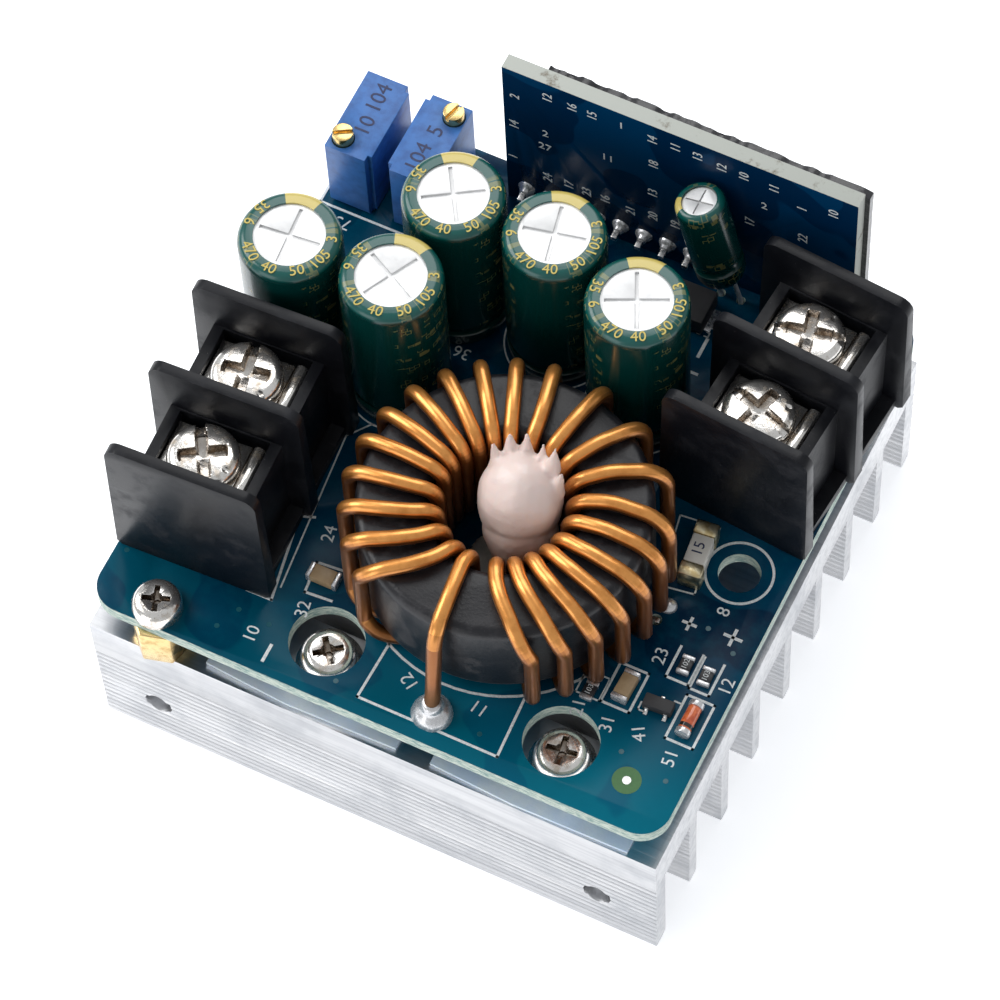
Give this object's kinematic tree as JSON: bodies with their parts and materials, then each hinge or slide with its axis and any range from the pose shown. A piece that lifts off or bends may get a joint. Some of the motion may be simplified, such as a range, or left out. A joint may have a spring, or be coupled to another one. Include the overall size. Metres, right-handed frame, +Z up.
{
  "type": "step-down converter module",
  "caption": "Finned heat sink carrying a circuit board with a toroidal inductor, electrolytic capacitors, screw terminals, trimmers and an upright control board.",
  "frame": {"origin": "middle of the heat sink's underside, on the tip of its middle fin", "axes": "+Z up out of the circuit board, +X right along the fins, +Y towards the edge with the upright control board"},
  "size_m": [0.0627, 0.0613, 0.0479],
  "materials": {
    "heatsink_aluminium": "mill finish, finely ribbed fins",
    "board": "glossy solder mask on glass-fibre laminate",
    "brass": "satin",
    "nickel_steel": "nickel plated, slightly warm",
    "thermal_pad": "soft, matt",
    "tab_metal": "tinned, satin",
    "black_mould": "matt moulding compound",
    "tinned_metal": "tinned, satin",
    "core": "lacquered iron powder, satin",
    "enamelled_copper": "amber enamel over copper",
    "silicone": "cured silicone, satin",
    "can_metal": "satin",
    "sleeve": "shrunk plastic sleeve",
    "terminal_plastic": "moulded, slightly satin",
    "contact_metal": "plated",
    "clamp_metal": "nickel plated",
    "trimmer_plastic": "moulded, satin",
    "control_laminate": "glossy solder mask on glass-fibre laminate",
    "potting": "uneven hardened compound",
    "fuse_ceramic": "fine ceramic",
    "fuse_brass": "satin, tinned",
    "chip_black": "satin",
    "ceramic_tan": "fired ceramic",
    "diode_glass": "clear over an orange chip",
    "solder": "bright solder"
  },
  "bodies": {
    "module": {"heatsink": "heatsink_aluminium", "circuit_board": "board", "standoffs": "brass", "board_screws": "nickel_steel", "thermal_pads": "thermal_pad", "power_tabs": "tab_metal", "power_bodies": "black_mould", "power_leads": "tinned_metal", "package_washers": "nickel_steel", "package_screws": "nickel_steel", "inductor_core": "core", "inductor_winding": "enamelled_copper", "silicone_blob": "silicone", "capacitor_1_can": "can_metal", "capacitor_2_can": "can_metal", "capacitor_3_can": "can_metal", "capacitor_4_can": "can_metal", "capacitor_5_can": "can_metal", "capacitor_1_sleeve": "sleeve", "capacitor_2_sleeve": "sleeve", "capacitor_3_sleeve": "sleeve", "capacitor_4_sleeve": "sleeve", "capacitor_5_sleeve": "sleeve", "small_capacitor_can": "can_metal", "small_capacitor_sleeve": "sleeve", "left_terminal_block": "terminal_plastic", "left_contacts": "contact_metal", "right_terminal_block": "terminal_plastic", "right_contacts": "contact_metal", "trimmer_1": "trimmer_plastic", "trimmer_2": "trimmer_plastic", "trimmer_pins": "tinned_metal", "control_board": "control_laminate", "control_header": "black_mould", "control_pins": "tinned_metal", "control_potting": "potting", "fuse": "fuse_ceramic", "fuse_caps": "fuse_brass", "chip_resistors": "chip_black", "chip_capacitors": "ceramic_tan", "chip_ends": "tinned_metal", "signal_transistor": "black_mould", "transistor_legs": "tinned_metal", "glass_diode": "diode_glass", "power_diode": "black_mould", "diode_tabs": "tinned_metal", "solder_joints": "solder"},
    "left front clamp plate": {"left_clamp_front": "clamp_metal"},
    "left front terminal screw": {"left_screw_front": "nickel_steel"},
    "left back clamp plate": {"left_clamp_back": "clamp_metal"},
    "left back terminal screw": {"left_screw_back": "nickel_steel"},
    "right front clamp plate": {"right_clamp_front": "clamp_metal"},
    "right front terminal screw": {"right_screw_front": "nickel_steel"},
    "right back clamp plate": {"right_clamp_back": "clamp_metal"},
    "right back terminal screw": {"right_screw_back": "nickel_steel"},
    "trimmer 1 screw": {"trimmer_1_screw": "brass"},
    "trimmer 2 screw": {"trimmer_2_screw": "brass"}
  },
  "joints": [
    {"name": "left front clamp lift", "type": "slide", "parent": "module", "child": "left front clamp plate", "axis": [0, 0, 1], "range_m": [0, 0.0018]},
    {"name": "left front screw turn", "type": "hinge", "parent": "left front clamp plate", "child": "left front terminal screw", "pos_m": [-0.02214, -0.01786, 0.025], "axis": [0, 0, 1], "range_deg": [0, 1080]},
    {"name": "left back clamp lift", "type": "slide", "parent": "module", "child": "left back clamp plate", "axis": [0, 0, 1], "range_m": [0, 0.0018]},
    {"name": "left back screw turn", "type": "hinge", "parent": "left back clamp plate", "child": "left back terminal screw", "pos_m": [-0.02256, -0.00837, 0.025], "axis": [0, 0, 1], "range_deg": [0, 1080]},
    {"name": "right front clamp lift", "type": "slide", "parent": "module", "child": "right front clamp plate", "axis": [0, 0, 1], "range_m": [0, 0.0018]},
    {"name": "right front screw turn", "type": "hinge", "parent": "right front clamp plate", "child": "right front terminal screw", "pos_m": [0.02259, 0.0083, 0.025], "axis": [0, 0, 1], "range_deg": [0, 1080]},
    {"name": "right back clamp lift", "type": "slide", "parent": "module", "child": "right back clamp plate", "axis": [0, 0, 1], "range_m": [0, 0.0018]},
    {"name": "right back screw turn", "type": "hinge", "parent": "right back clamp plate", "child": "right back terminal screw", "pos_m": [0.02342, 0.01777, 0.025], "axis": [0, 0, 1], "range_deg": [0, 1080]},
    {"name": "trimmer 1 turn", "type": "hinge", "parent": "module", "child": "trimmer 1 screw", "pos_m": [-0.02715, 0.0204, 0.035], "axis": [0, 0, 1], "continuous": true},
    {"name": "trimmer 2 turn", "type": "hinge", "parent": "module", "child": "trimmer 2 screw", "pos_m": [-0.01845, 0.02705, 0.035], "axis": [0, 0, 1], "continuous": true}
  ],
  "couplings": [
    {"joint": "left front screw turn", "follows": "left front clamp lift", "rad_per_m": 10472},
    {"joint": "left back screw turn", "follows": "left back clamp lift", "rad_per_m": 10472},
    {"joint": "right front screw turn", "follows": "right front clamp lift", "rad_per_m": 10472},
    {"joint": "right back screw turn", "follows": "right back clamp lift", "rad_per_m": 10472}
  ]
}
